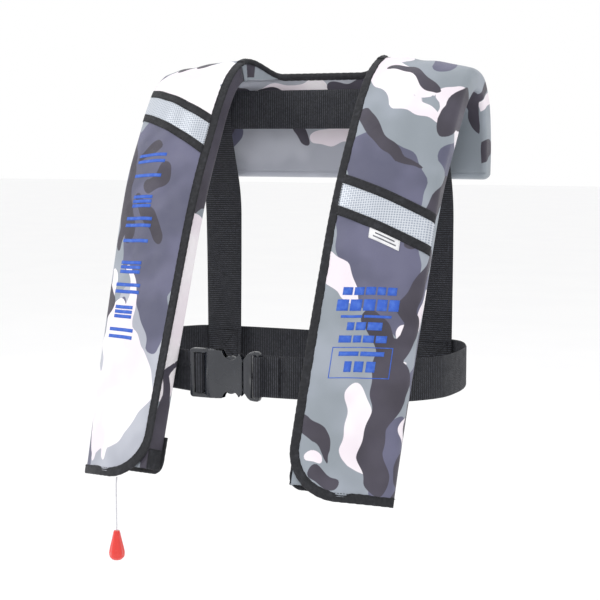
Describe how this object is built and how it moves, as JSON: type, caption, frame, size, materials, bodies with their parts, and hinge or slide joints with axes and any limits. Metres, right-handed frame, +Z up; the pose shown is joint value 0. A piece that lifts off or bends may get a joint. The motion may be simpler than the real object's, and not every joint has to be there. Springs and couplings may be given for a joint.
{
  "type": "inflatable life jacket",
  "caption": "Inflatable life jacket: bound camouflage cover with two chest lobes and a back yoke, folded bladder, gas inflator, webbing harness and side-release buckle.",
  "frame": {"origin": "midway between the wearer's shoulders, where the underside of the cover rests on them", "axes": "+Z up; the wearer faces -Y and the wearer's left is +X"},
  "size_m": [0.426, 0.3264, 0.5846],
  "materials": {
    "camouflage": "matt woven polyester, printed in pale pink, blue-grey, slate and charcoal",
    "lining": "matt woven polyester, printed",
    "binding": "black grosgrain tape",
    "reflective": "silver retroreflective tape with a fine cell pattern",
    "label": "white satin tag",
    "hook_and_loop": "black hook and loop",
    "bladder": "orange coated nylon",
    "webbing": "black ribbed polyester webbing",
    "buckle": "black moulded acetal, satin",
    "inflator": "yellow moulded plastic",
    "steel": "zinc plated",
    "rubber": "black rubber",
    "oral_fittings": "red-orange moulded plastic",
    "whistle": "orange moulded plastic",
    "cord": "white braided cord",
    "toggle": "red glossy moulded plastic"
  },
  "bodies": {
    "jacket": {"yoke_outer_cover": "camouflage", "yoke_bottom_panel": "camouflage", "left_shoulder_cover": "camouflage", "left_inner_gusset": "camouflage", "left_outer_gusset": "camouflage", "right_shoulder_cover": "camouflage", "right_inner_gusset": "camouflage", "right_outer_gusset": "camouflage", "yoke_lining": "lining", "left_shoulder_lining": "lining", "left_back_panel": "lining", "right_shoulder_lining": "lining", "right_back_panel": "lining", "neck_binding": "binding", "left_upper_tape": "binding", "left_lower_tape": "binding", "right_upper_tape": "binding", "right_lower_tape": "binding", "left_reflective_strip": "reflective", "right_reflective_strip": "reflective", "size_label": "label", "left_hook_strip": "hook_and_loop", "right_hook_strip": "hook_and_loop", "folded_bladder": "bladder", "neck_strap": "webbing", "left_back_strap": "webbing", "right_back_strap": "webbing", "waist_belt": "webbing", "belt_front_end": "webbing", "left_belt_keeper": "webbing", "right_belt_keeper": "webbing", "buckle_female": "buckle", "inflator_body": "inflator", "inflator_cap_nut": "inflator", "lever_pivot_pin": "steel", "oral_tube": "rubber", "whistle": "whistle", "whistle_lanyard": "cord"},
    "left_flap": {"left_front_flap": "camouflage", "left_flap_binding": "binding", "left_loop_strip": "hook_and_loop"},
    "right_flap": {"right_front_flap": "camouflage", "right_flap_binding": "binding", "right_loop_strip": "hook_and_loop"},
    "male_half": {"buckle_male": "buckle"},
    "upper_prong": {"buckle_prong_upper": "buckle"},
    "lower_prong": {"buckle_prong_lower": "buckle"},
    "lever": {"inflator_lever": "inflator"},
    "pin": {"firing_pin": "steel"},
    "cylinder": {"gas_cylinder": "steel"},
    "dust_cap": {"oral_cap": "oral_fittings"},
    "valve": {"oral_valve": "oral_fittings"},
    "ripcord": {"inner_cord": "cord"},
    "hanging_cord": {"pull_cord": "cord"},
    "toggle": {"pull_toggle": "toggle"}
  },
  "joints": [
    {"name": "left_flap_open", "type": "hinge", "parent": "jacket", "child": "left_flap", "pos_m": [0.20479, -0.13322, -0.20644], "axis": [0.0261, 0.295, 0.9551], "range_deg": [0, 100]},
    {"name": "right_flap_open", "type": "hinge", "parent": "jacket", "child": "right_flap", "pos_m": [-0.20479, -0.13322, -0.20644], "axis": [0.0261, -0.295, -0.9551], "range_deg": [0, 100]},
    {"name": "buckle_release", "type": "slide", "parent": "jacket", "child": "male_half", "axis": [1, 0, 0], "range_m": [0, 0.038], "deforming": ["belt_front_end"]},
    {"name": "upper_prong_squeeze", "type": "hinge", "parent": "male_half", "child": "upper_prong", "pos_m": [0, -0.19, -0.317], "axis": [0, -1, 0], "range_deg": [0, 7], "stiffness_Nm_per_rad": 0.3},
    {"name": "lower_prong_squeeze", "type": "hinge", "parent": "male_half", "child": "lower_prong", "pos_m": [0, -0.19, -0.355], "axis": [0, -1, 0], "range_deg": [-7, 0], "stiffness_Nm_per_rad": 0.3},
    {"name": "lever_pull", "type": "hinge", "parent": "jacket", "child": "lever", "pos_m": [-0.15066, -0.21299, -0.41832], "axis": [0.3649, 0.8892, -0.2761], "range_deg": [0, 80]},
    {"name": "pin_stroke", "type": "slide", "parent": "jacket", "child": "pin", "axis": [-0.0198, 0.3039, 0.9525], "range_m": [0, 0.0061]},
    {"name": "ripcord_pull", "type": "slide", "parent": "jacket", "child": "ripcord", "axis": [0.0198, -0.3039, -0.9525], "range_m": [0, 0.0197], "deforming": ["inner_cord"]},
    {"name": "cylinder_unscrew", "type": "hinge", "parent": "jacket", "child": "cylinder", "pos_m": [-0.1564, -0.20851, -0.41147], "axis": [-0.0198, 0.3039, 0.9525], "continuous": true},
    {"name": "dust_cap_pull", "type": "slide", "parent": "jacket", "child": "dust_cap", "axis": [0.0131, 0.3555, 0.9346], "range_m": [0, 0.018]},
    {"name": "valve_press", "type": "slide", "parent": "jacket", "child": "valve", "axis": [-0.0131, -0.3555, -0.9346], "range_m": [0, 0.004], "stiffness_N_per_m": 200},
    {"name": "cord_swing", "type": "hinge", "parent": "ripcord", "child": "hanging_cord", "pos_m": [-0.13531, -0.24362, -0.45537], "axis": [1, 0, 0], "range_deg": [-12, 30]},
    {"name": "toggle_swing", "type": "hinge", "parent": "hanging_cord", "child": "toggle", "pos_m": [-0.1352, -0.2456, -0.518], "axis": [0, 1, 0], "range_deg": [-35, 35]}
  ],
  "couplings": [
    {"joint": "lower_prong_squeeze", "follows": "upper_prong_squeeze", "ratio": -1},
    {"joint": "lever_pull", "follows": "ripcord_pull", "rad_per_m": 70.876},
    {"joint": "pin_stroke", "follows": "ripcord_pull", "ratio": 0.30456}
  ]
}
